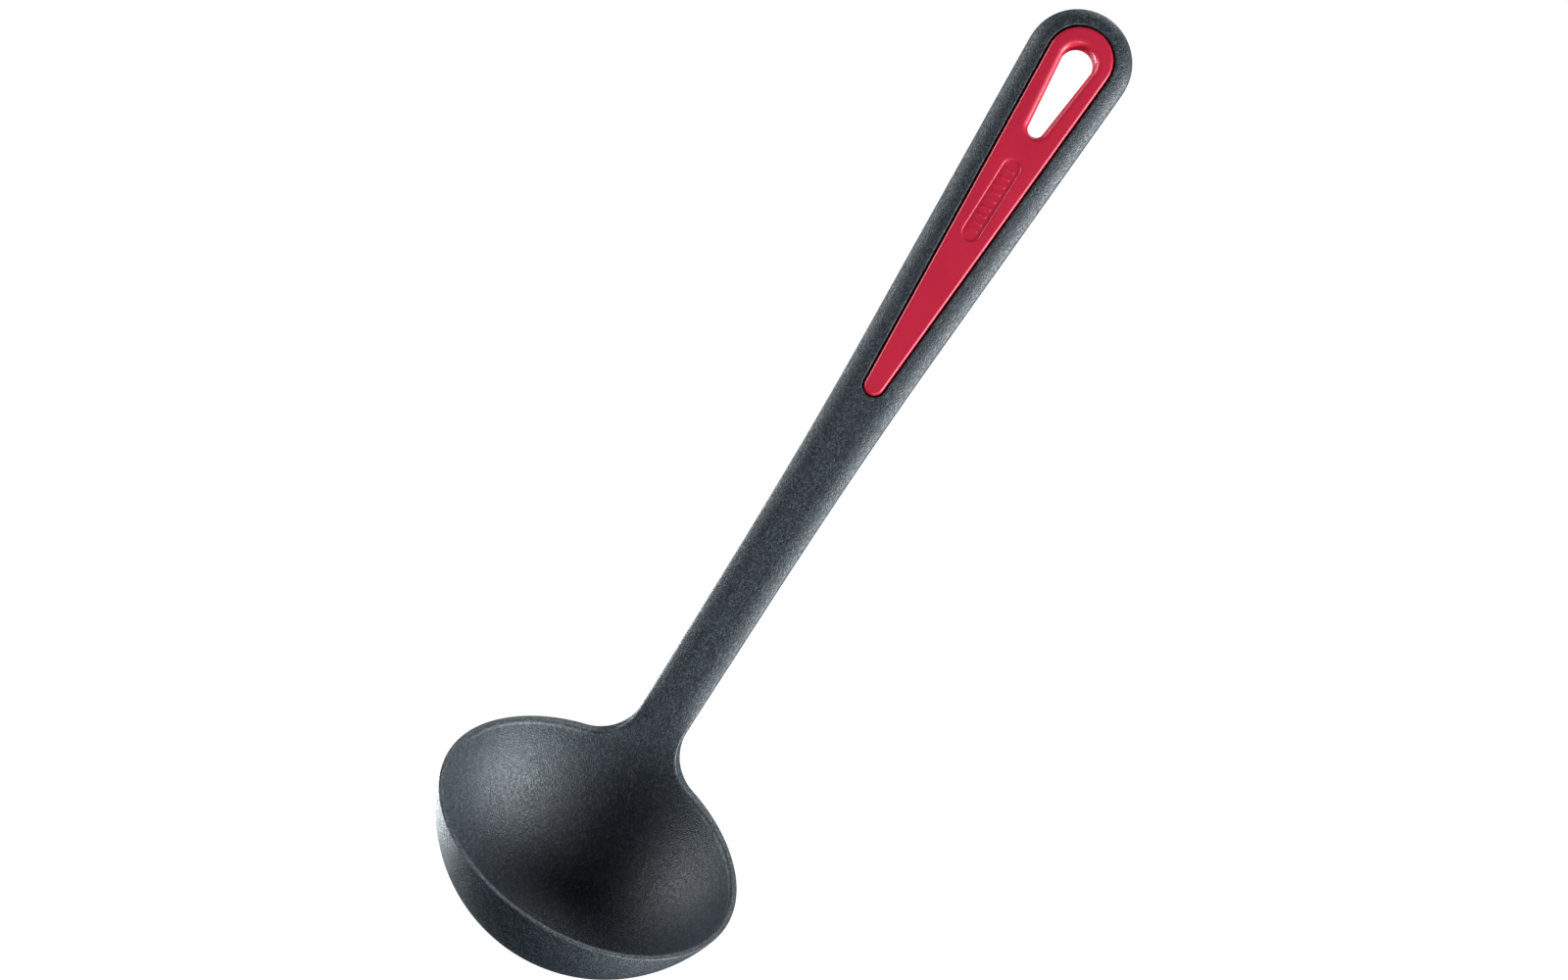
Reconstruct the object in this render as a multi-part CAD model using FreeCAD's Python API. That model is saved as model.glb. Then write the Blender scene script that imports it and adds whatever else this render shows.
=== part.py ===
"""Soup ladle: one dark nylon moulding (bowl, neck and handle) and a red insert with the hanging eye.

Frame, in millimetres: the ladle lies on its back as on a worktop. +X runs from the bowl to the
handle's end, +Z is up, and the XZ plane is the plane of symmetry. The origin is the middle of the
footprint, on the worktop. The design is drawn with the centre of the rim at x = 0 and moved at the end.
"""

import FreeCAD
import Part
import math
import os

# ---- driving dimensions: the moulding -----------------------------------------------------------
RIM_RADIUS = 46.0            # outer edge of the round rim
BOWL_RADIUS = 47.2           # outside of the bowl, which is part of a sphere
BOWL_WALL = 2.2
BOWL_TILT = 35.15            # degrees between the handle and the bowl's own axis

FRONT_LEAVES_BOWL = 20.0     # degrees round the sphere from its lowest point, front face
FRONT_BEND_RADIUS = 60.0     # front face, where the bowl's rear wall turns into the level handle
BACK_LEAVES_BOWL = 9.0
BACK_BEND_RADIUS = 150.0
BACK_SLOPES = (-0.2, -1.5)   # degrees, the handle's back at the neck and at the end

WAIST_X = 42.0               # the handle is narrowest from the neck to here
WAIST_HALF_WIDTH = 7.65
NECK_FILLET = 10.5           # concave corners between the rim and the handle
SHAFT_END = (80.0, 8.05)     # x and half-width where the slim shaft starts to widen
GRIP_START = (165.0, 10.55)  # x and half-width where the widening is complete
END_CENTRE_X = 267.0
END_RADIUS = 16.1            # round end of the handle

SHOULDER_WIDTH = 6.6         # the front face rolls off over this distance inside the outline
SHOULDER_DROPS = (1.4, 2.3)  # at the neck and at the end
BACK_SHOULDER_WIDTH = 7.0
BACK_SHOULDER_DROPS = (1.6, 2.2)

# ---- driving dimensions: the insert -------------------------------------------------------------
INSERT_TIP = (153.2, 3.25)   # x and radius of the small round end
INSERT_HEAD = (267.4, 10.2)  # x and radius of the large round end
INSERT_THICKNESS = 2.6
INSERT_PROUD = 0.3           # the insert stands this far above the handle
INSERT_GAP = 0.35            # shadow gap round the insert
INSERT_EDGE_ROUNDING = 0.6

EYE_TIP = (243.1, 2.5)       # hanging eye, the same kind of outline
EYE_HEAD = (266.7, 5.0)
EYE_MOUTH_ROUNDING = 2.0
COLLAR_WALL = 1.6            # the insert's collar lines the eye through the handle
COLLAR_SHORT_OF_BACK = 0.4
FIT_CLEARANCE = 0.05         # each side, round the collar and the pegs

PEG_RADIUS = 2.0
PEG_LENGTH = 2.8
PEG_BOTTOM_ROOM = 0.2
PEG_XS = (166.0, 190.0, 234.0)

PLAQUE_X = 217.8
PLAQUE_LENGTH = 27.9
PLAQUE_RADIUS = 2.8
PLAQUE_DEPTH = 0.3
BAR_COUNT = 9                # low plain bars side by side in the recess
BAR_PITCH = 2.6
BAR_LENGTH = 3.3
BAR_RADIUS = 0.6
BAR_HEIGHT = 0.2

# ---- the sheets that bound the moulding reach past its outline before they are trimmed ----------
SHEET_MARGIN = 3.5
SHEET_START = -137.0         # degrees round the sphere
SHEET_ANGLE = 80.0           # lateral half-angle over the bowl
SHEET_ANGLE_AT_NECK = 37.0
SHEET_NARROWS = 14.0         # length over which it narrows to the handle
CROWN_GROWS = 24.0           # length over which the bowl's hollow turns into the handle's crown
NARROWS_BEFORE_CENTRE = 8.0  # it starts to narrow this far short of the sphere's centre
NARROWING_POWER = 2.2        # slowly at first
ROLL_OFF_POWER = 2.5         # the shoulders curve more and more towards the outline
ROLL_OFF_BEYOND = 0.6        # how much further they drop past it, as a share of the drop
COLUMNS = 27
BOWL_STATIONS = 28
BEND_STATIONS = 8
HANDLE_STEP = 0.08           # between stations, as shares of the handle's length
END_STEP = 0.02              # closer together near the round end
HANDLE_STATIONS = 10
END_STATIONS_FROM = 0.78
END_STATIONS = 14
PATCHES_ALONG = (0, 0.25, 0.45, 0.75, 1)   # where the sheets are divided, as shares of their length
FAR = 70.0                   # past everything that is cut
OVERLAP = 0.5                # how far joined solids reach into each other
NEARLY_UP = 0.9              # rise of the normal of a face that counts as level

# ---- worked out ---------------------------------------------------------------------------------
TILT = math.radians(BOWL_TILT)
RIM_TO_CENTRE = math.sqrt(BOWL_RADIUS ** 2 - RIM_RADIUS ** 2)
OPENING = FreeCAD.Vector(math.cos(TILT), 0, math.sin(TILT))       # out of the bowl
TO_REAR = FreeCAD.Vector(math.sin(TILT), 0, -math.cos(TILT))      # across the rim, to the handle
ACROSS = FreeCAD.Vector(0, 1, 0)
UP = FreeCAD.Vector(0, 0, 1)
SPHERE_CENTRE = FreeCAD.Vector(RIM_TO_CENTRE * math.cos(TILT), 0, BOWL_RADIUS)
RIM_CENTRE = SPHERE_CENTRE - OPENING * RIM_TO_CENTRE
HANDLE_END_X = END_CENTRE_X + END_RADIUS
TO_ORIGIN = FreeCAD.Vector(-(HANDLE_END_X + SPHERE_CENTRE.x - BOWL_RADIUS) / 2, 0, 0)
GRIP_ANGLE = (math.asin(END_RADIUS / math.hypot(END_CENTRE_X - GRIP_START[0], GRIP_START[1]))
              - math.atan2(GRIP_START[1], END_CENTRE_X - GRIP_START[0]))
NECK_X = SPHERE_CENTRE.x + (BOWL_RADIUS - BOWL_WALL) * math.sin(math.radians(FRONT_LEAVES_BOWL))
NARROWS_X = SPHERE_CENTRE.x - NARROWS_BEFORE_CENTRE
FACE_Z = (SPHERE_CENTRE.z + FRONT_BEND_RADIUS          # the handle's front face
          - (BOWL_RADIUS - BOWL_WALL + FRONT_BEND_RADIUS) * math.cos(math.radians(FRONT_LEAVES_BOWL)))
SHAFT_SLOPE = (SHAFT_END[1] - WAIST_HALF_WIDTH) / (SHAFT_END[0] - WAIST_X)


def late(t):
    """0 up to t = 0, then rising to 1 at t = 1, slowly at first."""
    return max(t, 0.0) ** NARROWING_POWER


def smooth(t):
    t = min(max(t, 0.0), 1.0)
    return t * t * (3 - 2 * t)


def mix(pair, t):
    return pair[0] + (pair[1] - pair[0]) * t


def roll_off(reach):
    """0 up to the shoulder, 1 at the outline, and levelling out past it."""
    if reach <= 0:
        return 0.0
    if reach <= 1:
        return reach ** ROLL_OFF_POWER
    levelling = 1 - math.exp(-ROLL_OFF_POWER / ROLL_OFF_BEYOND * (reach - 1))
    return 1 + ROLL_OFF_BEYOND * levelling


# ---- plan of the handle -------------------------------------------------------------------------

def half_width(x):
    """Half-width of the handle's outline, short of its round end."""
    x1, w1 = SHAFT_END
    x2, w2 = GRIP_START
    grip_slope = math.tan(GRIP_ANGLE)
    if x <= x1:
        return w1 - SHAFT_SLOPE * (x1 - max(x, WAIST_X))
    if x >= x2:
        return w2 + grip_slope * (x - x2)
    t = (x - x1) / (x2 - x1)
    third = (x2 - x1) / 3
    p1 = w1 + SHAFT_SLOPE * third
    p2 = w2 - grip_slope * third
    return (1 - t) ** 3 * w1 + 3 * t * (1 - t) ** 2 * p1 + 3 * t * t * (1 - t) * p2 + t ** 3 * w2


def inside_outline(x, y):
    """Distance in from the handle's outline, negative outside it."""
    if x > END_CENTRE_X:
        return END_RADIUS - math.hypot(x - END_CENTRE_X, y)
    return min(half_width(x), END_RADIUS) - abs(y)


def handle_outline():
    """The handle's plan, from its waist to its round end."""
    x1, w1 = SHAFT_END
    x2, w2 = GRIP_START
    third = (x2 - x1) / 3
    touch_x = END_CENTRE_X - END_RADIUS * math.sin(GRIP_ANGLE)
    touch_y = END_RADIUS * math.cos(GRIP_ANGLE)
    sides = []
    for side in (1, -1):
        curve = Part.BezierCurve()
        curve.setPoles([FreeCAD.Vector(x1, side * w1, 0),
                        FreeCAD.Vector(x1 + third, side * (w1 + SHAFT_SLOPE * third), 0),
                        FreeCAD.Vector(x2 - third, side * (w2 - math.tan(GRIP_ANGLE) * third), 0),
                        FreeCAD.Vector(x2, side * w2, 0)])
        waist = FreeCAD.Vector(WAIST_X, side * WAIST_HALF_WIDTH, 0)
        sides += [Part.LineSegment(waist, FreeCAD.Vector(x1, side * w1, 0)), curve,
                  Part.LineSegment(FreeCAD.Vector(x2, side * w2, 0),
                                   FreeCAD.Vector(touch_x, side * touch_y, 0))]
    end = Part.Arc(FreeCAD.Vector(touch_x, touch_y, 0), FreeCAD.Vector(HANDLE_END_X, 0, 0),
                   FreeCAD.Vector(touch_x, -touch_y, 0))
    waist_line = Part.LineSegment(FreeCAD.Vector(WAIST_X, WAIST_HALF_WIDTH, 0),
                                  FreeCAD.Vector(WAIST_X, -WAIST_HALF_WIDTH, 0))
    return Part.Wire(Part.__sortEdges__([piece.toShape() for piece in sides + [end, waist_line]]))


def teardrop(tip, head, grow=0.0):
    """Two rounds joined by their outer tangents, both larger by grow: the plan of insert and eye."""
    tip_x, tip_radius = tip[0], tip[1] + grow
    head_x, head_radius = head[0], head[1] + grow
    lean = math.asin((head_radius - tip_radius) / (head_x - tip_x))
    sine, cosine = math.sin(lean), math.cos(lean)
    corners = {}
    for side in (1, -1):
        corners["tip", side] = FreeCAD.Vector(tip_x - tip_radius * sine, side * tip_radius * cosine, 0)
        corners["head", side] = FreeCAD.Vector(head_x - head_radius * sine,
                                               side * head_radius * cosine, 0)
    tip_end = FreeCAD.Vector(tip_x - tip_radius, 0, 0)
    head_end = FreeCAD.Vector(head_x + head_radius, 0, 0)
    return Part.Wire([Part.LineSegment(corners["tip", 1], corners["head", 1]).toShape(),
                      Part.Arc(corners["head", 1], head_end, corners["head", -1]).toShape(),
                      Part.LineSegment(corners["head", -1], corners["tip", -1]).toShape(),
                      Part.Arc(corners["tip", -1], tip_end, corners["tip", 1]).toShape()])


def upright(wire):
    """A tall prism on a closed plan."""
    wire = wire.copy()
    wire.translate(UP * -FAR)
    return Part.Face(wire).extrude(UP * 2 * FAR)


# ---- long profiles ------------------------------------------------------------------------------

def profile(radius, leaves_bowl, bend_radius, slopes):
    """Centre line of a face as stations, each a place and a direction.

    An arc round the sphere's centre, a reverse bend, and a slightly arched handle.
    """
    stations = []
    leave = math.radians(leaves_bowl)
    start = math.radians(SHEET_START)
    first, last = math.radians(slopes[0]), math.radians(slopes[1])
    for i in range(BOWL_STATIONS):
        turn = start + (leave - start) * i / BOWL_STATIONS
        place = SPHERE_CENTRE + FreeCAD.Vector(math.sin(turn), 0, -math.cos(turn)) * radius
        stations.append((place, turn))
    corner = SPHERE_CENTRE + FreeCAD.Vector(math.sin(leave), 0, -math.cos(leave)) * radius
    for i in range(BEND_STATIONS):
        turn = leave + (first - leave) * i / BEND_STATIONS
        place = corner + FreeCAD.Vector(math.sin(leave) - math.sin(turn), 0,
                                        math.cos(turn) - math.cos(leave)) * bend_radius
        stations.append((place, turn))
    bend_end = corner + FreeCAD.Vector(math.sin(leave) - math.sin(first), 0,
                                       math.cos(first) - math.cos(leave)) * bend_radius
    run = HANDLE_END_X - bend_end.x
    bow = (math.sin(first) - math.sin(last)) / run
    shares = [HANDLE_STEP * i for i in range(HANDLE_STATIONS)]
    shares += [END_STATIONS_FROM + END_STEP * i for i in range(END_STATIONS)]
    for along in shares:
        turn = math.asin(math.sin(first) - run * along * bow)
        rise = run * along * math.tan((first + turn) / 2)
        stations.append((bend_end + FreeCAD.Vector(run * along, 0, rise), turn))
    return stations


def sheet(radius, leaves_bowl, bend_radius, slopes, shoulder_width, drops, side):
    """Front (side -1 rolls down) or back (side +1 rolls up) of the moulding as one smooth surface."""
    rows = []
    for place, turn in profile(radius, leaves_bowl, bend_radius, slopes):
        normal = FreeCAD.Vector(-math.sin(turn), 0, math.cos(turn))
        past_neck = place.x - NECK_X
        on_handle = min(half_width(place.x), END_RADIUS) + SHEET_MARGIN
        at_neck = radius * math.sin(math.radians(SHEET_ANGLE_AT_NECK))
        if past_neck <= 0:
            narrowing = late((place.x - NARROWS_X) / (NECK_X - NARROWS_X))
            reach = radius * math.sin(math.radians(mix((SHEET_ANGLE, SHEET_ANGLE_AT_NECK), narrowing)))
        else:
            reach = mix((at_neck, on_handle), smooth(past_neck / SHEET_NARROWS))
        blend = smooth(past_neck / CROWN_GROWS)
        widest = math.asin(reach / radius)
        row = []
        for j in range(COLUMNS):
            y = radius * math.sin(widest * (2 * j / (COLUMNS - 1) - 1))
            hollow = radius - math.sqrt(radius ** 2 - y ** 2)
            rolled = roll_off(1 - inside_outline(place.x, y) / shoulder_width)
            crown = side * rolled * mix(drops, place.x / HANDLE_END_X)
            row.append(place + ACROSS * y + normal * mix((hollow, crown), blend))
        rows.append(row)
    surface = Part.BSplineSurface()
    surface.interpolate(rows)
    return surface


def patches(surface):
    """A surface's faces between its splits, and the pieces of its outer edge in order round it."""
    u0, u1, v0, v1 = surface.bounds()
    u_places = [u0 + (u1 - u0) * share for share in PATCHES_ALONG]
    v_places = [v0, (v0 + v1) / 2, v1]
    along = list(zip(u_places, u_places[1:]))
    over = list(zip(v_places, v_places[1:]))
    faces = [surface.toShape(*u, *v) for u in along for v in over]
    edges = [surface.uIso(u0).toShape(*v) for v in over]
    edges += [surface.vIso(v1).toShape(*u) for u in along]
    edges += [surface.uIso(u1).toShape(*v) for v in over]
    edges += [surface.vIso(v0).toShape(*u) for u in along]
    return faces, edges


def blank():
    """The solid between the front and the back sheet."""
    front_faces, front_edges = patches(sheet(
        BOWL_RADIUS - BOWL_WALL, FRONT_LEAVES_BOWL, FRONT_BEND_RADIUS, (0, 0),
        SHOULDER_WIDTH, SHOULDER_DROPS, -1))
    back_faces, back_edges = patches(sheet(
        BOWL_RADIUS, BACK_LEAVES_BOWL, BACK_BEND_RADIUS, BACK_SLOPES,
        BACK_SHOULDER_WIDTH, BACK_SHOULDER_DROPS, 1))
    walls = [Part.makeRuledSurface(a, b, 1) for a, b in zip(front_edges, back_edges)]
    shell = Part.makeShell(front_faces + back_faces + walls)
    shell.sewShape()
    solid = Part.makeSolid(shell)
    if solid.Volume < 0:
        solid.reverse()
    return solid


# ---- trimming the moulding ----------------------------------------------------------------------

def above_rim(points_and_arcs, start, length):
    """A prism along the rim's front-to-rear line, on a profile given across and out of the bowl."""
    def place(across, out):
        return RIM_CENTRE + ACROSS * across + OPENING * out + TO_REAR * start

    edges = []
    for piece in points_and_arcs:
        ends = [place(*point) for point in piece]
        curve = Part.LineSegment(*ends) if len(ends) == 2 else Part.Arc(*ends)
        edges.append(curve.toShape())
    return Part.Face(Part.Wire(edges)).extrude(TO_REAR * length)


def bowl_trim():
    """Keeps what is below the rim, and at the rear a strip that widens into the rim."""
    below = above_rim([((-FAR, -FAR), (FAR, -FAR)), ((FAR, -FAR), (FAR, 0)),
                       ((FAR, 0), (-FAR, 0)), ((-FAR, 0), (-FAR, -FAR))], -FAR, 2 * FAR)
    strip, fillet = WAIST_HALF_WIDTH, NECK_FILLET
    foot = strip + fillet
    middle = fillet * (1 - math.sqrt(0.5))
    neck = above_rim([((-foot, -1), (foot, -1)), ((foot, -1), (foot, 0)),
                      ((foot, 0), (strip + middle, middle), (strip, fillet)),
                      ((strip, fillet), (strip, FAR)), ((strip, FAR), (-strip, FAR)),
                      ((-strip, FAR), (-strip, fillet)),
                      ((-strip, fillet), (-strip - middle, middle), (-foot, 0)),
                      ((-foot, 0), (-foot, -1))], 0, FAR)
    past_waist = Part.makeBox(4 * FAR, 4 * FAR, 4 * FAR, FreeCAD.Vector(WAIST_X, -2 * FAR, -2 * FAR))
    return below.fuse(neck).cut(past_waist)


def worktop_cut():
    """Everything below the worktop: it leaves a flat land under the handle's end."""
    return Part.makeBox(8 * FAR, 4 * FAR, FAR, FreeCAD.Vector(-2 * FAR, -2 * FAR, -FAR))


def layer(bottom, top):
    """What lies between two heights measured from the handle's front face."""
    corner = FreeCAD.Vector(-2 * FAR, -2 * FAR, FACE_Z + bottom)
    return Part.makeBox(8 * FAR, 4 * FAR, top - bottom, corner)


def pegs(radius, length):
    """Round pegs on the insert's underside, or the holes for them."""
    shapes = []
    for x in PEG_XS:
        column = Part.makeCylinder(radius, 2 * FAR, FreeCAD.Vector(x, 0, -FAR), UP)
        underside = INSERT_PROUD - INSERT_THICKNESS
        shapes.append(column.common(layer(underside - length, underside + OVERLAP)))
    return shapes


def ladle_body():
    outline = bowl_trim().fuse(upright(handle_outline()))
    body = blank().common(outline).cut(worktop_cut())
    pocket = upright(teardrop(INSERT_TIP, INSERT_HEAD, INSERT_GAP))
    body = body.cut(pocket.common(layer(INSERT_PROUD - INSERT_THICKNESS, FAR)))
    body = body.cut(upright(teardrop(EYE_TIP, EYE_HEAD, COLLAR_WALL + FIT_CLEARANCE)))
    for hole in pegs(PEG_RADIUS + FIT_CLEARANCE, PEG_LENGTH + PEG_BOTTOM_ROOM):
        body = body.cut(hole)
    return body


# ---- the insert ---------------------------------------------------------------------------------

def plaque():
    """Shallow stadium recess."""
    half = PLAQUE_LENGTH / 2 - PLAQUE_RADIUS
    stadium = upright(teardrop((PLAQUE_X - half, PLAQUE_RADIUS), (PLAQUE_X + half, PLAQUE_RADIUS)))
    return stadium.common(layer(INSERT_PROUD - PLAQUE_DEPTH, FAR))


def bars():
    """A plain row of low bars with round ends, lying across the recess."""
    floor = INSERT_PROUD - PLAQUE_DEPTH
    straight = BAR_LENGTH - 2 * BAR_RADIUS
    shapes = []
    for i in range(BAR_COUNT):
        x = PLAQUE_X + (i - (BAR_COUNT - 1) / 2) * BAR_PITCH
        middle = Part.makeBox(2 * BAR_RADIUS, straight, 2 * FAR,
                              FreeCAD.Vector(x - BAR_RADIUS, -straight / 2, -FAR))
        ends = [Part.makeCylinder(BAR_RADIUS, 2 * FAR, FreeCAD.Vector(x, y, -FAR), UP)
                for y in (-straight / 2, straight / 2)]
        shapes.append(middle.fuse(ends).common(layer(floor - OVERLAP, floor + BAR_HEIGHT)))
    return shapes


def top_edges(shape):
    """The edges of the shape's largest upward face, outer loop first."""
    top = max((face for face in shape.Faces if face.normalAt(*middle_of(face)).z > NEARLY_UP),
              key=lambda face: face.Area)
    return sorted(top.Wires, key=lambda wire: -wire.BoundBox.DiagonalLength)


def middle_of(face):
    u0, u1, v0, v1 = face.ParameterRange
    return (u0 + u1) / 2, (v0 + v1) / 2


def handle_insert():
    plate = upright(teardrop(INSERT_TIP, INSERT_HEAD)).cut(upright(teardrop(EYE_TIP, EYE_HEAD)))
    plate = plate.common(layer(INSERT_PROUD - INSERT_THICKNESS, INSERT_PROUD))
    plate = plate.makeFillet(INSERT_EDGE_ROUNDING, top_edges(plate)[0].Edges)
    plate = plate.makeFillet(EYE_MOUTH_ROUNDING, top_edges(plate)[1].Edges)
    plate = plate.cut(plaque())
    collar = upright(teardrop(EYE_TIP, EYE_HEAD, COLLAR_WALL)).cut(upright(teardrop(EYE_TIP, EYE_HEAD)))
    collar = collar.common(layer(COLLAR_SHORT_OF_BACK - FACE_Z, INSERT_PROUD - INSERT_THICKNESS / 2))
    insert = plate.fuse([collar] + pegs(PEG_RADIUS, PEG_LENGTH) + bars())
    return insert.removeSplitter()


def main():
    os.makedirs("parts", exist_ok=True)
    for name, make in (("ladle_body", ladle_body), ("handle_insert", handle_insert)):
        shape = make()
        shape.translate(TO_ORIGIN)
        print(name, "solids", len(shape.Solids), "valid", shape.isValid(), "volume", round(shape.Volume))
        shape.exportStep("parts/" + name + ".step")


main()
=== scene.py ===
"""Soup ladle: the finished meshes, materials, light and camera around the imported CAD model.

Sizes are in millimetres in the design's own frame, with x = 0 at the centre of the rim, and become
metres in the row's frame when a mesh is made.
"""

import math

import bmesh
import bpy
import numpy as np
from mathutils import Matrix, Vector


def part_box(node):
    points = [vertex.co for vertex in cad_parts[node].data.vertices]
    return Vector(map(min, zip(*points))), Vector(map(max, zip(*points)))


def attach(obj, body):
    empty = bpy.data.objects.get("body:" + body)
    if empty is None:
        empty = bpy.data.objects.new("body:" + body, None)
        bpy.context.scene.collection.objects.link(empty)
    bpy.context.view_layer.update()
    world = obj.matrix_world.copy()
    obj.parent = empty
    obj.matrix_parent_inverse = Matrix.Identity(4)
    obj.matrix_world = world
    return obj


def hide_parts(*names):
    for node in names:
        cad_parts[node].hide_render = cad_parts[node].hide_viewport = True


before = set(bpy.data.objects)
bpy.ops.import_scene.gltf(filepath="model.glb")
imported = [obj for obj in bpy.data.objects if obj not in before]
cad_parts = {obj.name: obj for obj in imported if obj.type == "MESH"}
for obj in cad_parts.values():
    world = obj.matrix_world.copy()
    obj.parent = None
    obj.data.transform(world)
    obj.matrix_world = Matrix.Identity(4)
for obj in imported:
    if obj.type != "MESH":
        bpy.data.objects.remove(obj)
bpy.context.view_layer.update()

# ---- sizes of the moulding, in millimetres ------------------------------------------------------
RIM_RADIUS = 46.0
BOWL_RADIUS = 47.2
BOWL_WALL = 2.2
BOWL_TILT = math.radians(35.15)

FRONT_LEAVES_BOWL = math.radians(20.0)
FRONT_BEND_RADIUS = 60.0
BACK_LEAVES_BOWL = math.radians(9.0)
BACK_BEND_RADIUS = 150.0
BACK_SLOPES = (math.radians(-0.2), math.radians(-1.5))
BEND_EASING = 9.0             # length over which one curvature passes into the next
CROWN_GROWS = 24.0            # length over which the bowl's hollow turns into the handle's crown

WAIST_X = 42.0
WAIST_HALF_WIDTH = 7.65
NECK_FILLET = 10.5
SHAFT_END = (80.0, 8.05)
GRIP_START = (165.0, 10.55)
END_CENTRE_X = 267.0
END_RADIUS = 16.1
FRONT_ROUNDINGS = (1.1, 0.6)  # radii of the edges at the rim and along the handle
BACK_ROUNDINGS = (0.5, 0.6)
SHOULDER_WIDTH = 6.6
SHOULDER_DROPS = (1.4, 2.3)
BACK_SHOULDER_WIDTH = 7.0
BACK_SHOULDER_DROPS = (1.6, 2.2)
ROLL_OFF_POWER = 2.5          # how sharply a face falls from its shoulder to its edge
ROLL_OFF_BEYOND = 0.6         # how much further it falls past the edge, as a part of the drop
LAND_EASING = 0.05            # how softly the back runs into its flat land
PARTING_HEIGHT = 0.07         # raised line where the two halves of the mould met
PARTING_WIDTH = 0.22
PARTING_PLACE = 0.62          # how far down the side it runs
PARTING_SHARE = 0.3           # of a narrow side's height, the most that its half-width takes
SLOT_BACK_EDGE = 0.3          # broken edges of the collar's slot, on the back and in the pocket
SLOT_TOP_EDGE = 0.2

# ---- sizes of the insert ------------------------------------------------------------------------
INSERT_TIP = (153.2, 3.25)
INSERT_HEAD = (267.4, 10.2)
INSERT_THICKNESS = 2.6
INSERT_PROUD = 0.3
INSERT_GAP = 0.35
INSERT_ROUNDING = 0.8
INSERT_DRAFT = 0.3            # how far the side leans in towards the top
DRAFT_DEPTH = 1.2             # how deep the leaning part of the side is
INSERT_CROWN = 0.16
LIP_ROUNDING = 0.3
LIP_BEAD = 0.08               # height of the faint bead round the pocket
LIP_BEAD_WIDTH = 0.3          # from the lip to the bead's crest, and from the crest to its foot
UNDER_EDGE = 0.3              # broken edge round the underside
EYE_TIP = (243.1, 2.5)
EYE_HEAD = (266.7, 5.0)
EYE_MOUTH_ROUNDING = 2.0
COLLAR_WALL = 1.6
COLLAR_SHORT_OF_BACK = 0.4
COLLAR_EDGE = 0.25
FIT_CLEARANCE = 0.05
PEG_RADIUS = 2.0
PEG_LENGTH = 2.8
PEG_BOTTOM_ROOM = 0.2
PEG_EDGE = 0.3                # height of a peg's chamfer
PEG_TIP = 0.85                # radius of its tip, as a part of its own
PEG_XS = (166.0, 190.0, 234.0)
PLAQUE_X = 217.8
PLAQUE_LENGTH = 27.9
PLAQUE_RADIUS = 2.8
PLAQUE_DEPTH = 0.3
PLAQUE_EDGE = ((0.12, 0), (0.04, 0.04), (0, 0.12),     # growth and drop of the loops down its edge
               (-0.03, PLAQUE_DEPTH - 0.06), (-0.12, PLAQUE_DEPTH))
BAR_COUNT = 9
BAR_PITCH = 2.6
BAR_LENGTH = 3.3
BAR_RADIUS = 0.6
BAR_HEIGHT = 0.2
BAR_FLANK = 0.35              # width of a bar's sloping side

# ---- how finely the meshes are divided ----------------------------------------------------------
COLUMNS = 32                  # across the handle and the insert
AROUND = 192                  # round the bowl
RIM_STEPS = AROUND - COLUMNS
BOWL_RINGS = 26
CAP = AROUND // 4
CAP_ANGLE = math.radians(27)
ROUND_STEPS = 6
LIP_STEPS = 3
MOUTH_STEPS = 7
HALVINGS = 34                 # when a point is looked for along a face
EDGE_CROWDING = 0.35          # how much closer together the columns are at the edges
BULGE_ROWS = 5                # rows over which a plan's round end turns straight
LID_RING = 0.6                # size of the small ring inside a lid
POCKET_RINGS = 7              # from the rows round an island to its outline
BACK_EYE_RINGS = 5
SLOT_RINGS = 4
PEG_RINGS = 3
PLAQUE_RINGS = 5
EYE_RINGS = 6
COLLAR_RINGS = 5
PEG_MARGIN = 0.7              # room between an island and the rows round it
PLAQUE_MARGIN = 1.6
EYE_MARGIN = 1.2
PLAQUE_ROW_GAP = 0.2
INSERT_TIP_ROWS = 17          # from the insert's tip to the plaque, and from there to its head
INSERT_HEAD_ROWS = 18

# ---- worked out ---------------------------------------------------------------------------------
body_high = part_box("ladle_body")[1]
insert_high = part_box("handle_insert")[1]
MM = 0.001
HANDLE_END_X = END_CENTRE_X + END_RADIUS
SHIFT = body_high.x / MM - HANDLE_END_X
FACE_Z = insert_high.z / MM - INSERT_PROUD
POCKET_Z = FACE_Z + INSERT_PROUD - INSERT_THICKNESS
RIM_TO_CENTRE = math.sqrt(BOWL_RADIUS ** 2 - RIM_RADIUS ** 2)
OPENING = np.array([math.cos(BOWL_TILT), 0, math.sin(BOWL_TILT)])
TO_REAR = np.array([math.sin(BOWL_TILT), 0, -math.cos(BOWL_TILT)])
ACROSS = np.array([0.0, 1.0, 0.0])
SPHERE_CENTRE = np.array([RIM_TO_CENTRE * math.cos(BOWL_TILT), 0, BOWL_RADIUS])
RIM_CENTRE = SPHERE_CENTRE - OPENING * RIM_TO_CENTRE
NECK_X = SPHERE_CENTRE[0] + (BOWL_RADIUS - BOWL_WALL) * math.sin(FRONT_LEAVES_BOWL)
NECK_FOOT = WAIST_HALF_WIDTH + NECK_FILLET
GRIP_ANGLE = (math.asin(END_RADIUS / math.hypot(END_CENTRE_X - GRIP_START[0], GRIP_START[1]))
              - math.atan2(GRIP_START[1], END_CENTRE_X - GRIP_START[0]))
SHAFT_SLOPE = (SHAFT_END[1] - WAIST_HALF_WIDTH) / (SHAFT_END[0] - WAIST_X)


def smooth(t):
    t = np.clip(t, 0, 1)
    return t * t * (3 - 2 * t)


def mix(a, b, t):
    return a + (b - a) * t


def unit(vectors):
    return vectors / np.linalg.norm(vectors, axis=-1, keepdims=True)


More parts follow.
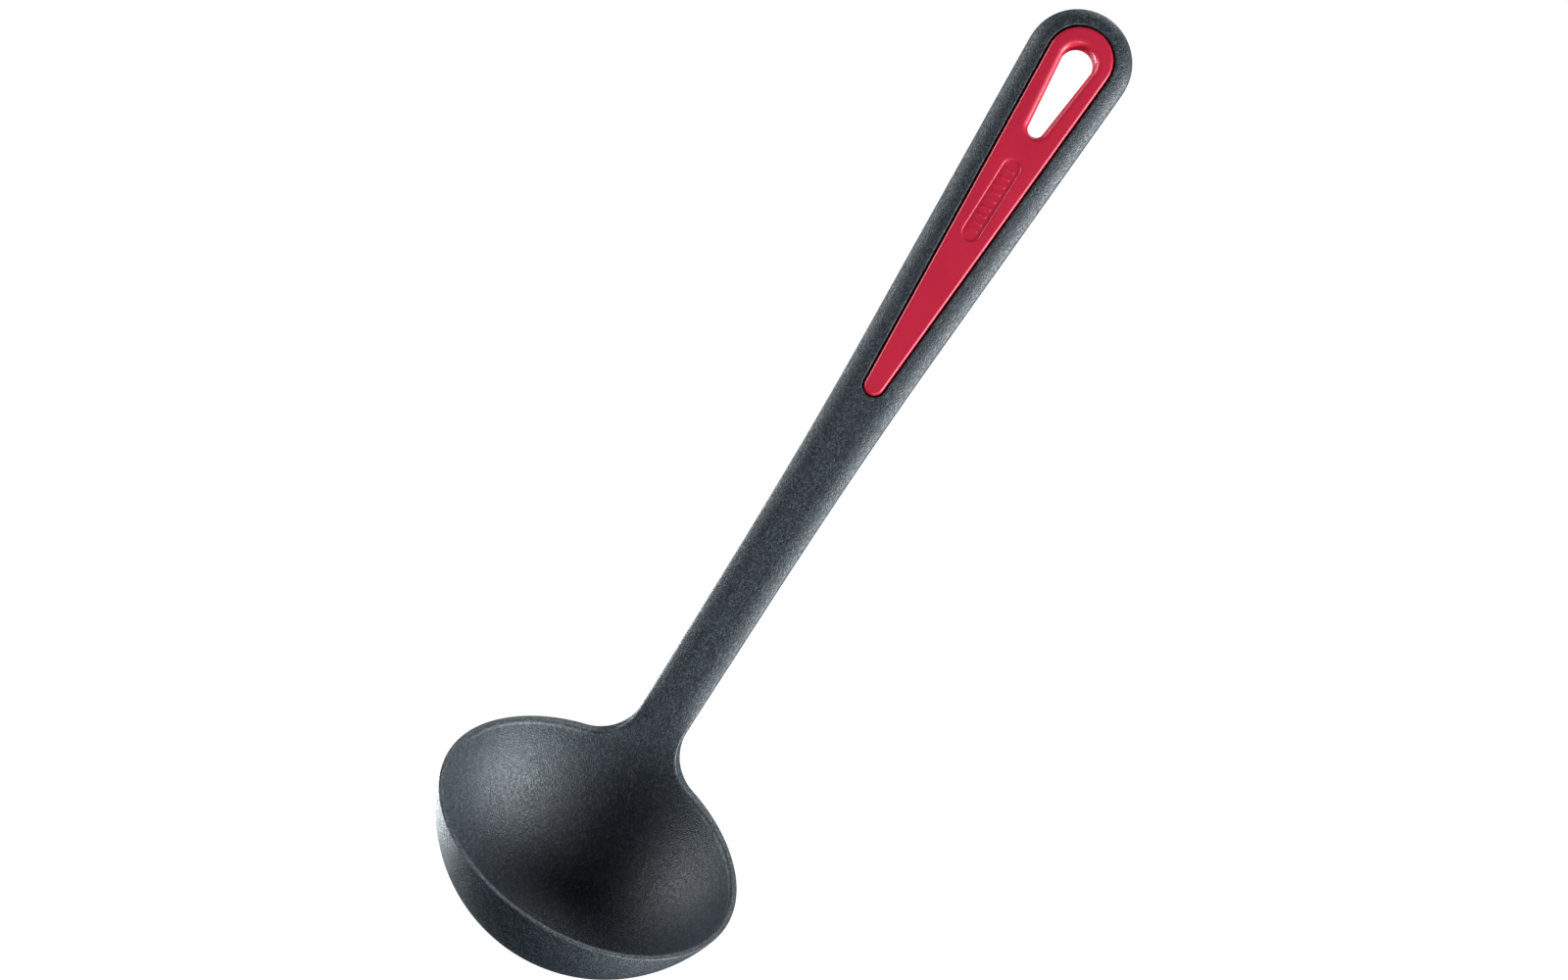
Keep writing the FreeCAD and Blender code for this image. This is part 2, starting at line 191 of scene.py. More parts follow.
def roll_off(reach):
    """0 up to the shoulder, 1 at the outline, and levelling out past it."""
    inside = np.clip(reach, 0, 1) ** ROLL_OFF_POWER
    steepness = ROLL_OFF_POWER / ROLL_OFF_BEYOND
    outside = ROLL_OFF_BEYOND * (1 - np.exp(-steepness * np.maximum(reach - 1, 0)))
    return inside + outside


def half_width(x):
    """Half-width of the handle's outline, short of its round end."""
    x1, w1 = SHAFT_END
    x2, w2 = GRIP_START
    grip_slope = math.tan(GRIP_ANGLE)
    third = (x2 - x1) / 3
    t = np.clip((x - x1) / (x2 - x1), 0, 1)
    p1 = w1 + SHAFT_SLOPE * third
    p2 = w2 - grip_slope * third
    curve = (1 - t) ** 3 * w1 + 3 * t * (1 - t) ** 2 * p1 + 3 * t * t * (1 - t) * p2 + t ** 3 * w2
    before = SHAFT_SLOPE * np.minimum(np.maximum(x, WAIST_X) - x1, 0)
    return curve + before + grip_slope * np.maximum(x - x2, 0)


def inside_outline(x, y):
    """Distance in from the handle's outline, negative outside it."""
    along = np.minimum(half_width(x), END_RADIUS) - np.abs(y)
    at_end = END_RADIUS - np.hypot(x - END_CENTRE_X, y)
    return np.where(x > END_CENTRE_X, at_end, along)


# ---- the two faces of the moulding --------------------------------------------------------------

class Sheet:
    """The front or back face: round the bowl, through the bend and along the handle."""

    STEP = 0.1
    START = -math.radians(75)         # slope at the bowl's far side, where the profile starts
    PAST_END = 12.0                   # how far the profile runs past the handle's end
    REAR = math.radians(2)            # from here back the bowl may blend into the handle

    def __init__(self, radius, leaves_bowl, bend_radius, slopes, shoulder_width, drops, side):
        self.radius, self.shoulder_width, self.drops, self.side = radius, shoulder_width, drops, side
        first, last = slopes
        bend_end_x = SPHERE_CENTRE[0] + (radius + bend_radius) * math.sin(leaves_bowl)
        bend_end_x -= bend_radius * math.sin(first)
        run = HANDLE_END_X - bend_end_x
        bow = (math.sin(first) - math.sin(last)) / run
        bend = bend_radius * (leaves_bowl - first)
        self.s = np.arange(radius * (self.START - leaves_bowl), bend + run + self.PAST_END, self.STEP)
        turn = np.where(self.s < 0, leaves_bowl + self.s / radius,
                        np.where(self.s < bend, leaves_bowl - self.s / bend_radius,
                                 first - bow * (self.s - bend)))
        window = np.hanning(int(BEND_EASING / self.STEP) | 1)
        padded = np.pad(turn, len(window) // 2, mode="reflect", reflect_type="odd")
        turn = np.convolve(padded, window / window.sum(), mode="valid")
        self.turn = turn
        middle = (turn[:-1] + turn[1:]) / 2
        along_x = np.concatenate([[0], np.cumsum(np.cos(middle)) * self.STEP])
        along_z = np.concatenate([[0], np.cumsum(np.sin(middle)) * self.STEP])
        self.x = SPHERE_CENTRE[0] + radius * math.sin(self.START) + along_x
        self.z = SPHERE_CENTRE[2] - radius * math.cos(self.START) + along_z

    def at(self, s, y):
        """Place and height at a distance along the profile and across it."""
        x = np.interp(s, self.s, self.x)
        z = np.interp(s, self.s, self.z)
        turn = np.interp(s, self.s, self.turn)
        hollow = self.radius - np.sqrt(self.radius ** 2 - y ** 2)
        rolled = roll_off(1 - inside_outline(x, y) / self.shoulder_width)
        crown = self.side * rolled * mix(self.drops[0], self.drops[1], x / HANDLE_END_X)
        out = mix(hollow, crown, smooth((x - NECK_X) / CROWN_GROWS))
        return x - np.sin(turn) * out, z + np.cos(turn) * out

    def on_plane(self, y, lean, place):
        """Points at those y where x + lean * (z - FACE_Z) = place."""
        y, lean, place = np.broadcast_arrays(np.asarray(y, float), lean, place)
        low = np.full(y.shape, self.s[0])
        high = np.full(y.shape, self.s[-1])
        for _ in range(HALVINGS):
            middle = (low + high) / 2
            x, z = self.at(middle, y)
            past = x + lean * (z - FACE_Z) > place
            high = np.where(past, middle, high)
            low = np.where(past, low, middle)
        x, z = self.at((low + high) / 2, y)
        if self.side > 0:
            z = (z + np.sqrt(z ** 2 + LAND_EASING ** 2)) / 2
        return np.stack([x, y, z], -1)

    def over(self, x, y):
        """Points of the face straight over a plan."""
        return self.on_plane(y, 0.0, x)

    def ring_radius(self, out):
        """Radius of the sphere's circle at a height out of the rim plane."""
        return math.sqrt(self.radius ** 2 - (RIM_TO_CENTRE - out) ** 2)

    def in_bowl(self, out, around):
        """Points of the bowl at a height out of the rim plane, at angles from the rear."""
        ring = np.sqrt(self.radius ** 2 - (RIM_TO_CENTRE - out) ** 2)
        y = ring * np.sin(around)
        points = (RIM_CENTRE + OPENING * np.asarray(out)[..., None]
                  + TO_REAR * (ring * np.cos(around))[..., None] + ACROSS * y[..., None])
        from_bottom = np.arctan2(points[..., 0] - SPHERE_CENTRE[0], SPHERE_CENTRE[2] - points[..., 2])
        rear = from_bottom > self.REAR
        placed = self.on_plane(y, math.tan(BOWL_TILT), plane_place(out))
        return np.where(rear[..., None], placed, points)


def plane_place(out):
    """Where a plane parallel to the rim crosses the handle's front face."""
    return out / math.cos(BOWL_TILT) + math.tan(BOWL_TILT) * (RIM_CENTRE[2] - FACE_Z)


front = Sheet(BOWL_RADIUS - BOWL_WALL, FRONT_LEAVES_BOWL, FRONT_BEND_RADIUS, (0.0, 0.0),
              SHOULDER_WIDTH, SHOULDER_DROPS, -1)
back = Sheet(BOWL_RADIUS, BACK_LEAVES_BOWL, BACK_BEND_RADIUS, BACK_SLOPES,
             BACK_SHOULDER_WIDTH, BACK_SHOULDER_DROPS, 1)


# ---- meshes made of rows and rings --------------------------------------------------------------

class Mesh:
    """Points and faces of one piece, in millimetres in the design's frame."""

    def __init__(self):
        self.points = []
        self.faces = []

    def add(self, points):
        first = len(self.points)
        self.points.extend(np.asarray(points, float).reshape(-1, 3).tolist())
        return np.arange(first, len(self.points))

    def at(self, indices):
        return np.array([self.points[i] for i in indices])

    def bridge(self, a, b, closed=False):
        count = len(a) if closed else len(a) - 1
        for i in range(count):
            j = (i + 1) % len(a)
            self.faces.append((a[i], a[j], b[j], b[i]))

    def rings(self, last, loops):
        """Closed rings, each joined to the one before; returns the last one's indices."""
        for loop in loops:
            ring = self.add(loop)
            self.bridge(last, ring, closed=True)
            last = ring
        return last

    def lid(self, ring):
        """Closes a flat round hole with one smaller ring and a single face."""
        points = self.at(ring)
        middle = points.mean(0)
        inner = self.rings(ring, [mix(middle, points, LID_RING)])
        self.faces.append(tuple(inner))

    def ribbon(self, rows, islands=(), first=None):
        """A strip of rows. An island is (row before, row after, lift, ring count, outline loops)."""
        hidden = {k for a, b, *_ in islands for k in range(a + 1, b)}
        blocked = {k for a, b, *_ in islands for k in range(a, b)}
        strip = []
        for k, row in enumerate(rows):
            if k == 0 and first is not None:
                strip.append(np.asarray(first))
            elif k in hidden:
                ends = self.add(row[[0, -1]])
                indices = np.full(len(row), -1)
                indices[0], indices[-1] = ends
                strip.append(indices)
            else:
                strip.append(self.add(row))
        for k in range(len(rows) - 1):
            if k not in blocked:
                self.bridge(strip[k], strip[k + 1])
        inner = []
        for a, b, lift, count, loops in islands:
            outline = block(strip, a, b)
            outer_points = self.at(outline)
            between = []
            for i in range(1, count):
                plan = mix(outer_points, loops[0], i / count)
                between.append(lift(plan[:, 0], plan[:, 1]))
            inner.append(self.rings(outline, between + list(loops)))
        return strip, inner

    def piece(self, name):
        """The Blender object, in metres in the row's frame."""
        points = (np.array(self.points) + [SHIFT, 0, 0]) * MM
        mesh = bpy.data.meshes.new(name)
        mesh.from_pydata(points.tolist(), [], [tuple(int(i) for i in face) for face in self.faces])
        shape = bmesh.new()
        shape.from_mesh(mesh)
        bmesh.ops.recalc_face_normals(shape, faces=shape.faces)
        shape.to_mesh(mesh)
        shape.free()
        mesh.shade_smooth()
        piece = bpy.data.objects.new(name, mesh)
        bpy.context.scene.collection.objects.link(piece)
        return piece


def block(strip, a, b):
    """Indices round the rows from a to b, clockwise from above, starting at low x and low y."""
    side = [strip[k][-1] for k in range(a + 1, b)]
    other = [strip[k][0] for k in range(b - 1, a, -1)]
    return np.concatenate([strip[a], side, strip[b][::-1], other]).astype(int)


def level(height):
    """A lift onto a level plane."""
    def lift(x, y):
        return np.stack([x, y, np.full(np.shape(x), height)], -1)
    return lift


def two_rounds(tip, head, grow, sides):
    """Plan of an insert or eye in the order of a block: tip arc, side, head arc, side.

    sides are the places of the points along a side, from 0 to 1.
    """
    lean = math.asin((head[1] - tip[1]) / (head[0] - tip[0]))
    turn = math.pi / 2 + lean
    low = np.linspace(2 * math.pi - turn, turn, COLUMNS + 1)
    high = np.linspace(turn, -turn, COLUMNS + 1)
    low = np.stack([tip[0] + (tip[1] + grow) * np.cos(low), (tip[1] + grow) * np.sin(low)], -1)
    high = np.stack([head[0] + (head[1] + grow) * np.cos(high), (head[1] + grow) * np.sin(high)], -1)
    sides = np.asarray(sides)[:, None]
    return np.concatenate([low, mix(low[-1], high[0], sides), high, mix(low[0], high[-1], sides)[::-1]])


def circle(x, radius, side_count):
    """A round island's plan in the order of a block."""
    side = math.pi * (side_count + 1) / (COLUMNS + side_count + 1)
    half = (math.pi - side) / 2
    turns = np.concatenate([np.linspace(math.pi + half, math.pi - half, COLUMNS + 1),
                            np.linspace(math.pi - half, half, side_count + 2)[1:-1],
                            np.linspace(half, -half, COLUMNS + 1),
                            np.linspace(-half, half - math.pi, side_count + 2)[1:-1]])
    return np.stack([x + radius * np.cos(turns), radius * np.sin(turns)], -1)


def rounding(inner, corner, outer, steps=ROUND_STEPS):
    """Rings that turn from inner to outer, tangent to both at their corner."""
    turns = [math.pi / 2 * i / steps for i in range(1, steps + 1)]
    return [inner + (corner - inner) * math.sin(t) + (outer - corner) * (1 - math.cos(t)) for t in turns]


# ---- rows across the handle ---------------------------------------------------------------------

EVEN = np.linspace(-1, 1, COLUMNS + 1)
ACROSS_ROW = mix(EVEN, np.sin(EVEN * math.pi / 2), EDGE_CROWDING)
FILLET_ROWS = 12
ROWS_TO_UPRIGHT = 12
ROWS_TO_POCKET = 34
ROWS_TO_EYE = 46
ROWS_TO_END = 18
UPRIGHT_X = 58.0              # rows lie parallel to the rim at the neck and are upright from here on
POCKET_ROW_X = 142.5          # last row before the insert's pocket
EYE_ROW_X = 234.2             # last row before the eye, on the back and in the pocket
END_ROW_X = END_CENTRE_X - END_RADIUS * math.sin(GRIP_ANGLE)
AFTER_FILLET = plane_place(NECK_FILLET)
STRAIGHT_ROWS = np.concatenate([np.linspace(AFTER_FILLET, UPRIGHT_X, ROWS_TO_UPRIGHT)[1:],
                                np.linspace(UPRIGHT_X, POCKET_ROW_X, ROWS_TO_POCKET)[1:],
                                np.linspace(POCKET_ROW_X, EYE_ROW_X, ROWS_TO_EYE)[1:],
                                np.linspace(EYE_ROW_X, END_ROW_X, ROWS_TO_END)[1:-1]])
ROWS = FILLET_ROWS + 1 + len(STRAIGHT_ROWS) + 1
POCKET_ROW = FILLET_ROWS + 1 + int(np.argmin(abs(STRAIGHT_ROWS - POCKET_ROW_X)))
EYE_ROW = FILLET_ROWS + 1 + int(np.argmin(abs(STRAIGHT_ROWS - EYE_ROW_X)))


def row_insets(insets):
    """The inset of every row, where the rim and the handle have different ones."""
    rim, handle = insets
    return mix(rim, handle, smooth(np.arange(ROWS) / FILLET_ROWS))


def row_targets(insets):
    """Across, lean and place of every point of every row, inset from the moulding's outline."""
    inset = row_insets(insets)[:, None]
    across, lean, place = (np.zeros((ROWS, COLUMNS + 1)) for _ in range(3))
    turns = np.linspace(0, math.pi / 2, FILLET_ROWS + 1)[:, None]
    fillet = slice(0, FILLET_ROWS + 1)
    reach = NECK_FILLET + inset[fillet]
    across[fillet] = (NECK_FOOT - reach * np.sin(turns)) * ACROSS_ROW
    lean[fillet] = math.tan(BOWL_TILT)
    place[fillet] = plane_place(NECK_FILLET - reach * np.cos(turns))
    straight = slice(FILLET_ROWS + 1, ROWS - 1)
    across[straight] = (half_width(STRAIGHT_ROWS)[:, None] - inset[straight]) * ACROSS_ROW
    upright = smooth((STRAIGHT_ROWS - AFTER_FILLET) / (UPRIGHT_X - AFTER_FILLET))
    lean[straight] = (math.tan(BOWL_TILT) * (1 - upright))[:, None]
    place[straight] = STRAIGHT_ROWS[:, None]
    turns = (math.pi / 2 + GRIP_ANGLE) * EVEN
    across[-1] = (END_RADIUS - inset[-1]) * np.sin(turns)
    place[-1] = END_CENTRE_X + (END_RADIUS - inset[-1]) * np.cos(turns)
    return across, lean, place


def ring_angles(sheet, out):
    """Angles from the rear of the points round the bowl; the neck's are under its columns."""
    neck = np.arcsin(NECK_FOOT * ACROSS_ROW / sheet.ring_radius(out))
    rim = np.linspace(neck[-1], 2 * math.pi - neck[-1], RIM_STEPS + 1)[1:-1]
    half = COLUMNS // 2
    return np.concatenate([neck[half:], rim, neck[:half] + 2 * math.pi])


NECK_OF_RING = np.arange(-(COLUMNS // 2), COLUMNS // 2 + 1) % AROUND
RIM_OF_RING = np.arange(AROUND - COLUMNS // 2 - 1, COLUMNS // 2, -1)


def outline_points(sheet, insets):
    """The moulding's whole outline on one face: side, end, side, and round the rim."""
    rows = sheet.on_plane(*row_targets(insets))
    rim = sheet.in_bowl(np.full(AROUND, -insets[0]), ring_angles(sheet, -insets[0]))[RIM_OF_RING]
    return np.concatenate([rows[:-1, -1], rows[-1, ::-1], rows[-2::-1, 0], rim])


def outline_insets(insets):
    """The inset of every point of the outline."""
    rows = row_insets(insets)
    return np.concatenate([rows[:-1], np.full(COLUMNS + 1, rows[-1]), rows[-2::-1],
                           np.full(len(RIM_OF_RING), insets[0])])[:, None]


def bowl_face(mesh, sheet, inset):
    """One face of the bowl: rings from the rim down, and a square grid over the middle."""
    rim_angle = math.acos((RIM_TO_CENTRE + inset) / sheet.radius)
    angles = ring_angles(sheet, -inset)
    even = np.arange(AROUND) * 2 * math.pi / AROUND
    first = last = None
    for k in range(BOWL_RINGS + 1):
        t = k / BOWL_RINGS
        out = RIM_TO_CENTRE - sheet.radius * math.cos(mix(rim_angle, CAP_ANGLE, t))
        ring = mesh.add(sheet.in_bowl(np.full(AROUND, out), mix(angles, even, t)))
        if first is None:
            first = ring
        else:
            mesh.bridge(last, ring, closed=True)
        last = ring
    side = np.sin(np.linspace(-1, 1, CAP + 1) * math.pi / 4) * math.sqrt(2)
    grid = np.full((CAP + 1, CAP + 1), -1)
    corner = CAP // 2
    for i in range(CAP + 1):
        grid[CAP, i] = last[(i - corner) % AROUND]
        grid[CAP - i, CAP] = last[corner + i]
        grid[0, CAP - i] = last[corner + CAP + i]
        grid[i, 0] = last[(corner + 2 * CAP + i) % AROUND]
    a, b = np.meshgrid(side[1:-1], side[1:-1], indexing="ij")
    u, v = a * np.sqrt(1 - b ** 2 / 2), b * np.sqrt(1 - a ** 2 / 2)
    out = RIM_TO_CENTRE - sheet.radius * np.cos(np.hypot(u, v) * CAP_ANGLE)
    grid[1:-1, 1:-1] = mesh.add(sheet.in_bowl(out, np.arctan2(v, u))).reshape(a.shape)
    for i in range(CAP):
        mesh.bridge(grid[i], grid[i + 1])
    return first


def moulding_face(mesh, sheet, insets, islands):
    """Bowl, neck and handle of one face; returns its outline's indices and its islands' rings."""
    ring = bowl_face(mesh, sheet, insets[0])
    rows = sheet.on_plane(*row_targets(insets))
    strip, inner = mesh.ribbon(rows, islands, first=ring[NECK_OF_RING])
    outline = np.concatenate([[row[-1] for row in strip[:-1]], strip[-1][::-1],
                              [row[0] for row in strip[-2::-1]], ring[RIM_OF_RING]]).astype(int)
    return outline, inner


def side_wall(mesh, front_outline, back_outline):
    """Rounded edges and the side between the two faces, with the mould's parting line."""
    front_inner = outline_points(front, FRONT_ROUNDINGS)
    back_inner = outline_points(back, BACK_ROUNDINGS)
    front_corner, back_corner = outline_points(front, (0, 0)), outline_points(back, (0, 0))
    down = unit(back_corner - front_corner)
    outward = front_corner - front_inner
    outward = unit(outward - down * (outward * down).sum(1, keepdims=True))
    top = front_corner + down * outline_insets(FRONT_ROUNDINGS)
    bottom = back_corner - down * outline_insets(BACK_ROUNDINGS)
    last = mesh.rings(front_outline, rounding(front_inner, front_corner, top))
    parting = mix(top, bottom, PARTING_PLACE)
    side_height = np.linalg.norm(bottom - top, axis=1, keepdims=True)
    width = np.minimum(PARTING_WIDTH, PARTING_SHARE * side_height)
    height = PARTING_HEIGHT * width / PARTING_WIDTH
    last = mesh.rings(last, [mix(top, parting, 0.5), parting - down * width,
                             parting + outward * height, parting + down * width])
    last = mesh.rings(last, rounding(back_inner, back_corner, bottom)[::-1])
    mesh.bridge(last, back_outline, closed=True)


# ---- the moulding -------------------------------------------------------------------------------

def side_places(a, b):
    """Where the rows between a and b fall along the insert's side, from 0 to 1."""
    x = STRAIGHT_ROWS[a - FILLET_ROWS:b - FILLET_ROWS - 1]
    low = STRAIGHT_ROWS[a - FILLET_ROWS - 1]
    high = STRAIGHT_ROWS[b - FILLET_ROWS - 1] if b < ROWS - 1 else END_ROW_X
    return (x - low) / (high - low)


def plan_rows(outline, count):
    """Rows across a plan whose loop starts with one end row and has the other after count sides."""
    low, high = outline[:COLUMNS + 1], outline[COLUMNS + 1 + count:2 * COLUMNS + 2 + count]
    plus = outline[COLUMNS + 1:COLUMNS + 1 + count]
    rows = [low]
    for i, point in enumerate(plus):
        bulge = max(1 - (i + 1) / BULGE_ROWS, 0)
        row = np.stack([np.full(COLUMNS + 1, point[0]), point[1] * ACROSS_ROW], -1)
        row[:, 0] += bulge * (low[:, 0] - low[0, 0])
        rows.append(row)
    rows.append(high[::-1])
    return rows


def lifted(plan, lift):
    """A plan's points on the surface that the lift gives."""
    return lift(plan[:, 0], plan[:, 1])


def near_rows(places, x, reach):
    """Indices of the rows just outside x - reach and x + reach."""
    places = np.asarray(places)
    return (int(np.nonzero(places < x - reach)[0][-1]), int(np.nonzero(places > x + reach)[0][0]))


def pegs_in(rows, height, radius):
    """Round islands where the pegs are, in a ribbon of plan rows."""
    places = [row[:, 0].mean() for row in rows]
    islands = []
    for x in PEG_XS:
        a, b = near_rows(places, x, radius + PEG_MARGIN)
        outline = circle(x, radius, b - a - 1)
        islands.append((a, b, level(height), PEG_RINGS, [lifted(outline, level(height))]))
    return islands


def quarter_round(radius, steps):
    """Growth and drop of the loops over an edge that turns from level to upright."""
    turns = [math.pi / 2 * i / steps for i in range(1, steps + 1)]
    return [(radius * (1 - math.sin(turn)), radius * (1 - math.cos(turn))) for turn in turns]


def pocket_loops(sides):
    """The pocket's mouth: the bead round it, the lip, and the lip's rounded edge."""
    def mouth(grow, drop):
        return lifted(two_rounds(INSERT_TIP, INSERT_HEAD, grow, sides), front.over) - [0, 0, drop]

    lip = INSERT_GAP + LIP_ROUNDING
    loops = [mouth(lip + 2 * LIP_BEAD_WIDTH, 0), mouth(lip + LIP_BEAD_WIDTH, -LIP_BEAD), mouth(lip, 0)]
    return loops + [mouth(INSERT_GAP + grow, drop) for grow, drop in quarter_round(LIP_ROUNDING, LIP_STEPS)]


def pocket_floor(mesh, pocket_ring, back_ring, sides, eye_sides):
    """The pocket's side and floor, the pegs' holes, and the collar's slot through to the back."""
    floor = level(POCKET_Z)
    hole = COLLAR_WALL + FIT_CLEARANCE
    slot = two_rounds(EYE_TIP, EYE_HEAD, hole, eye_sides)
    slot_edge = two_rounds(EYE_TIP, EYE_HEAD, hole + SLOT_TOP_EDGE, eye_sides)
    rows = plan_rows(two_rounds(INSERT_TIP, INSERT_HEAD, INSERT_GAP, sides), len(sides))
    slot_island = (EYE_ROW - POCKET_ROW, len(rows) - 1, floor, SLOT_RINGS,
                   [lifted(slot_edge, floor), lifted(slot, level(POCKET_Z - SLOT_TOP_EDGE))])
    islands = pegs_in(rows, POCKET_Z, PEG_RADIUS + FIT_CLEARANCE) + [slot_island]
    strip, rings = mesh.ribbon([lifted(row, floor) for row in rows], islands)
    mesh.bridge(pocket_ring, block(strip, 0, len(strip) - 1), closed=True)
    for ring in rings[:-1]:
        bottom = mesh.at(ring) - [0, 0, PEG_LENGTH + PEG_BOTTOM_ROOM]
        mesh.lid(mesh.rings(ring, [bottom]))
    slot_bottom = lifted(slot, back.over) + [0, 0, SLOT_BACK_EDGE]
    mesh.bridge(mesh.rings(rings[-1], [slot_bottom]), back_ring, closed=True)


def ladle_body():
    """The moulding: its two faces, the side between them, and the insert's pocket."""
    mesh = Mesh()
    sides = side_places(POCKET_ROW, ROWS - 1)
    eye_sides = side_places(EYE_ROW, ROWS - 1)
    pocket = (POCKET_ROW, ROWS - 1, front.over, POCKET_RINGS, pocket_loops(sides))
    front_outline, pocket_rings = moulding_face(mesh, front, FRONT_ROUNDINGS, [pocket])
    hole = COLLAR_WALL + FIT_CLEARANCE + SLOT_BACK_EDGE
    on_back = lifted(two_rounds(EYE_TIP, EYE_HEAD, hole, eye_sides), back.over)
    slot = (EYE_ROW, ROWS - 1, back.over, BACK_EYE_RINGS, [on_back])
    back_outline, back_rings = moulding_face(mesh, back, BACK_ROUNDINGS, [slot])
    side_wall(mesh, front_outline, back_outline)
    pocket_floor(mesh, pocket_rings[0], back_rings[0], sides, eye_sides)
    return mesh.piece("ladle_moulding")


# ---- the insert ---------------------------------------------------------------------------------

def insert_places():
    """Places along the insert's side of its rows, from 0 to 1, close together at the plaque."""
    reach = PLAQUE_LENGTH / 2 + PLAQUE_MARGIN
    low, high = PLAQUE_X - reach, PLAQUE_X + reach
    start, end = INSERT_TIP[0], INSERT_HEAD[0]
    fine = int((high - low) / PLAQUE_ROW_GAP)
    places = np.concatenate([np.linspace(start, low, INSERT_TIP_ROWS)[1:-1], np.linspace(low, high, fine),
                             np.linspace(high, end, INSERT_HEAD_ROWS)[1:-1]])
    return (places - start) / (end - start)


def insert_top(x, y):
    """A lift onto the insert's slightly crowned top."""
    height = FACE_Z + INSERT_PROUD - INSERT_CROWN * (y / INSERT_HEAD[1]) ** 2
    return np.stack([x, y, height], -1)


def bar_height(x, y):
    """Low plain bars side by side, with rounded ends."""
    height = np.zeros(np.shape(x))
    past_straight = np.maximum(np.abs(y) - (BAR_LENGTH / 2 - BAR_RADIUS), 0)
    for i in range(BAR_COUNT):
        middle = PLAQUE_X + (i - (BAR_COUNT - 1) / 2) * BAR_PITCH
        inside = BAR_RADIUS - np.hypot(x - middle, past_straight)
        height += BAR_HEIGHT * smooth(inside / BAR_FLANK)
    return height


def insert_outline(grow, sides):
    return two_rounds(INSERT_TIP, INSERT_HEAD, grow, sides)


def eye_loop(grow, sides, lift, drop=0.0):
    return lifted(two_rounds(EYE_TIP, EYE_HEAD, grow, sides), lift) - [0, 0, drop]


def plaque_loops(sides):
    """The plaque's edge, from the insert's top down to the plaque's floor."""
    half = PLAQUE_LENGTH / 2 - PLAQUE_RADIUS
    low, high = (PLAQUE_X - half, PLAQUE_RADIUS), (PLAQUE_X + half, PLAQUE_RADIUS)
    return [lifted(two_rounds(low, high, grow, sides), insert_top) - [0, 0, drop]
            for grow, drop in PLAQUE_EDGE]


def mouth_loops(sides):
    """The eye's mouth, rolling from the insert's top down into the eye."""
    return [eye_loop(EYE_MOUTH_ROUNDING, sides, insert_top)] + [
        eye_loop(grow, sides, insert_top, drop)
        for grow, drop in quarter_round(EYE_MOUTH_ROUNDING, MOUTH_STEPS)]


def plaque_floor(mesh, ring, side_count):
    """The plaque's floor and its bars, inside the ring at the foot of the plaque's edge."""
    side_end = COLUMNS + 1 + side_count
    head_end = side_end + COLUMNS + 1
    plus = ring[COLUMNS + 1:side_end]
    minus = ring[head_end:][::-1]
    last = ring[:COLUMNS + 1]
    for i, row in enumerate(plan_rows(mesh.at(ring)[:, :2], side_count)[1:-1]):
        points = lifted(row[1:-1], insert_top) - [0, 0, PLAQUE_DEPTH]
        points[:, 2] += bar_height(points[:, 0], points[:, 1])
        indices = np.concatenate([[minus[i]], mesh.add(points), [plus[i]]])
        mesh.bridge(last, indices)
        last = indices
    mesh.bridge(last, ring[side_end:head_end][::-1])


def insert_side(mesh, top_outline, sides):
    """The insert's rounded edge and its side, down to the broken edge underneath."""
    inner = lifted(insert_outline(-INSERT_DRAFT - INSERT_ROUNDING, sides), insert_top)
    corner = lifted(insert_outline(-INSERT_DRAFT, sides), insert_top)
    last = mesh.rings(top_outline, rounding(inner, corner, corner - [0, 0, INSERT_ROUNDING]))
    upright = insert_outline(0, sides)
    return mesh.rings(last, [lifted(upright, insert_top) - [0, 0, DRAFT_DEPTH],
                             lifted(upright, level(POCKET_Z + UNDER_EDGE))])


def underside(mesh, side_ring, mouth_ring, sides, eye_row, eye_sides):
    """The underside, with the pegs, and the collar that lines the eye up to its mouth."""
    rows = plan_rows(insert_outline(-UNDER_EDGE, sides), len(sides))
    end, edge = COLLAR_SHORT_OF_BACK, COLLAR_EDGE
    collar = [eye_loop(grow, eye_sides, level(height))
              for grow, height in ((COLLAR_WALL, POCKET_Z), (COLLAR_WALL, end + edge),
                                   (COLLAR_WALL - edge, end), (edge, end), (0, end + edge))]
    islands = pegs_in(rows, POCKET_Z, PEG_RADIUS)
    islands.append((eye_row, len(rows) - 1, level(POCKET_Z), COLLAR_RINGS, collar))
    strip, rings = mesh.ribbon([lifted(row, level(POCKET_Z)) for row in rows], islands)
    mesh.bridge(side_ring, block(strip, 0, len(strip) - 1), closed=True)
    for ring in rings[:-1]:
        points = mesh.at(ring)
        tip = mix(points.mean(0), points, PEG_TIP)
        mesh.lid(mesh.rings(ring, [points - [0, 0, PEG_LENGTH - PEG_EDGE], tip - [0, 0, PEG_LENGTH]]))
    mesh.bridge(rings[-1], mouth_ring, closed=True)


